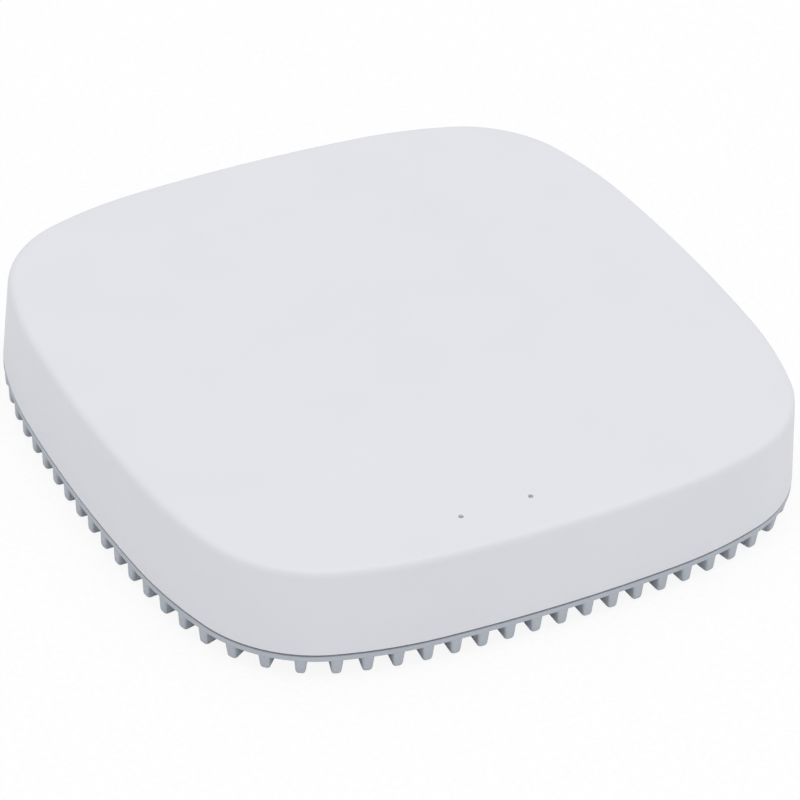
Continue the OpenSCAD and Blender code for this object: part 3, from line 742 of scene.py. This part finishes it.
# node: (rounding in mm, segments, finish, material slot, body)
softened = {
    "port_panel": (0.2, 3, greyAbs, "grey_base_plastic", caseBody),
    "ethernet_jack": (0.12, 2, blackNylon, "black_plastic", caseBody),
    "ethernet_shield": (0.08, 2, tinPlate, "tinned_steel", caseBody),
    "ethernet_contacts": (0.06, 2, goldPlate, "gold_plate", caseBody),
    "ethernet_transformer": (0.25, 2, chipEpoxy, "chip_epoxy", caseBody),
    "power_inlet_shell": (0.06, 2, nickelShell, "nickel_shell", caseBody),
    "power_inlet_tongue": (0.08, 2, blackNylon, "black_plastic", caseBody),
    "cover_screws": (0.12, 2, zincSteel, "screw_steel", caseBody),
    "board_screws": (0.12, 2, zincSteel, "screw_steel", caseBody),
    "rating_label": (0.04, 1, satinLabel, "label_film", caseBody),
    "main_board": (0.06, 1, boardGreen, "circuit_board", caseBody),
    "zigbee_module": (0.06, 1, boardGreen, "circuit_board", caseBody),
    "zwave_module": (0.06, 1, boardGreen, "circuit_board", caseBody),
    "processor": (0.1, 2, chipEpoxy, "chip_epoxy", caseBody),
    "memory_chips": (0.1, 2, chipEpoxy, "chip_epoxy", caseBody),
    "wifi_chip": (0.08, 2, chipEpoxy, "chip_epoxy", caseBody),
    "thermal_pad": (0.15, 2, gapPad, "gap_pad", caseBody),
    "heat_sink": (0.15, 2, anodised, "anodised_aluminium", caseBody),
    "heat_sink_pins": (0.3, 3, whiteNylon, "white_nylon", caseBody),
    "wifi_shield": (0.12, 2, tinPlate, "tinned_steel", caseBody),
    "zigbee_shield": (0.12, 2, tinPlate, "tinned_steel", caseBody),
    "crystal_can": (0.3, 3, tinPlate, "tinned_steel", caseBody),
    "left_antenna": (0.06, 1, antennaBoard, "antenna_laminate", caseBody),
    "right_antenna": (0.06, 1, antennaBoard, "antenna_laminate", caseBody),
    "antenna_connectors": (0.15, 2, goldPlate, "gold_plate", caseBody),
    "status_leds": (0.1, 2, ledResin, "led_resin", caseBody),
    "light_pipe": (0.06, 2, clearAcrylic, "clear_acrylic", caseBody),
    "light_gasket": (0.2, 2, blackFoam, "black_foam", caseBody),
    "power_inductor": (0.4, 3, ferrite, "ferrite", caseBody),
    "capacitors": (0.35, 3, bareCan, "capacitor_can", caseBody),
    "switch_body": (0.15, 2, blackNylon, "black_plastic", caseBody),
    "switch_plunger": (0.15, 2, blackNylon, "black_plastic", buttonBody),
    "left_antenna_lead": (0, 0, coaxJacket, "coax_jacket", caseBody),
    "right_antenna_lead": (0, 0, coaxJacket, "coax_jacket", caseBody),
}

for node, (width, segments, finish, slotName, body) in softened.items():
    piece = softEdged(node, width * mm, segments) if width else softEdged(node, 0.001 * mm, 1, 80)
    settle(piece, finish, [node], body, 50)
print("inner pieces made")


# light, floor and camera

studio = {
    "sky": 0.785, "lampPower": 7.7, "lampSize": 1.6, "lampHeight": 1.5, "lampSide": (0.12, -0.15),
    "floor": "#e6e6e8", "floorHalf": 6.0, "floorDrop": 0.02, "glow": 0.9,
}


def studioLight():
    world = bpy.context.scene.world or bpy.data.worlds.new("studio")
    bpy.context.scene.world = world
    world.use_nodes = True
    tree = world.node_tree
    tree.nodes.clear()
    rays = addNode(tree, "ShaderNodeLightPath")
    seen = calculate(tree, "MAXIMUM", rays.outputs["Is Camera Ray"], rays.outputs["Is Transmission Ray"])
    strength = addNode(tree, "ShaderNodeMapRange", {"Value": seen, "To Min": studio["sky"], "To Max": 1.0})
    sky = addNode(tree, "ShaderNodeBackground",
                  {"Color": linear("#ffffff"), "Strength": strength.outputs["Result"]})
    addNode(tree, "ShaderNodeOutputWorld", {"Surface": sky.outputs["Background"]})
    lamp = bpy.data.lights.new("softbox", "AREA")
    lamp.shape = "SQUARE"
    lamp.size = studio["lampSize"]
    lamp.energy = studio["lampPower"]
    holder = bpy.data.objects.new("softbox", lamp)
    bpy.context.collection.objects.link(holder)
    holder.location = (*studio["lampSide"], studio["lampHeight"])
    holder.rotation_euler = (-holder.location).to_track_quat("-Z", "Y").to_euler()


def studioFloor():
    # matte white sheet lit from behind: the camera sees mostly its own glow, the hub only what it reflects
    matte = {"Roughness": 0.9, "Specular IOR Level": 0.1}
    material, tree, shader, place = startMaterial("backlitMatteSheet", matte)
    tint(tree, shader, grain(tree, place, 1.2 * mm, 3.0), studio["floor"], "#ffffff")
    direct = addNode(tree, "ShaderNodeLightPath").outputs["Is Camera Ray"]
    glow = addNode(tree, "ShaderNodeEmission", {"Color": linear("#ffffff"), "Strength": 1.0})
    sheet = addNode(tree, "ShaderNodeMixShader",
                    {0: calculate(tree, "MULTIPLY", direct, studio["glow"]),
                     1: shader.outputs["BSDF"], 2: glow.outputs["Emission"]})
    # from underneath the sheet can be seen through
    fromBelow = addNode(tree, "ShaderNodeNewGeometry").outputs["Backfacing"]
    clear = addNode(tree, "ShaderNodeBsdfTransparent")
    mixed = addNode(tree, "ShaderNodeMixShader",
                    {0: calculate(tree, "MULTIPLY", direct, fromBelow),
                     1: sheet.outputs["Shader"], 2: clear.outputs["BSDF"]})
    tree.links.new(mixed.outputs["Shader"], tree.nodes["Material Output"].inputs["Surface"])
    deselect()
    bpy.ops.mesh.primitive_plane_add(size=2 * studio["floorHalf"])
    floor = bpy.context.object
    floor.name = floor.data.name = "floor"
    bpy.ops.object.mode_set(mode="EDIT")
    bpy.ops.transform.translate(value=(0, 0, -studio["floorDrop"] * mm))
    bpy.ops.object.mode_set(mode="OBJECT")
    floor.data.materials.append(material)


camera = {
    "azimuth": -29.8, "elevation": 35.91, "roll": 3.03, "distance": 782, "lens": 187.25,
    "aimHeight": 5.4, "shift": (1.32, 1.3),
}


def studioCamera():
    azimuth, elevation, roll = (math.radians(camera[k]) for k in ("azimuth", "elevation", "roll"))
    back = Vector((math.sin(azimuth) * math.cos(elevation), -math.cos(azimuth) * math.cos(elevation),
                   math.sin(elevation)))
    right = Vector((math.cos(azimuth), math.sin(azimuth), 0))
    up = back.cross(right)
    place = Vector((0, 0, camera["aimHeight"])) + back * camera["distance"]
    place += right * camera["shift"][0] + up * camera["shift"][1]
    turnedRight = right * math.cos(roll) + up * math.sin(roll)
    turnedUp = up * math.cos(roll) - right * math.sin(roll)
    lens = bpy.data.cameras.new("camera")
    lens.lens = camera["lens"]
    holder = bpy.data.objects.new("camera", lens)
    bpy.context.collection.objects.link(holder)
    for column, axis in enumerate((turnedRight, turnedUp, back)):
        for row in range(3):
            holder.matrix_world[row][column] = axis[row]
    holder.location = place * mm
    bpy.context.scene.camera = holder


studioLight()
studioFloor()
studioCamera()
bpy.context.scene.view_settings.view_transform = "Standard"
print("studio made")
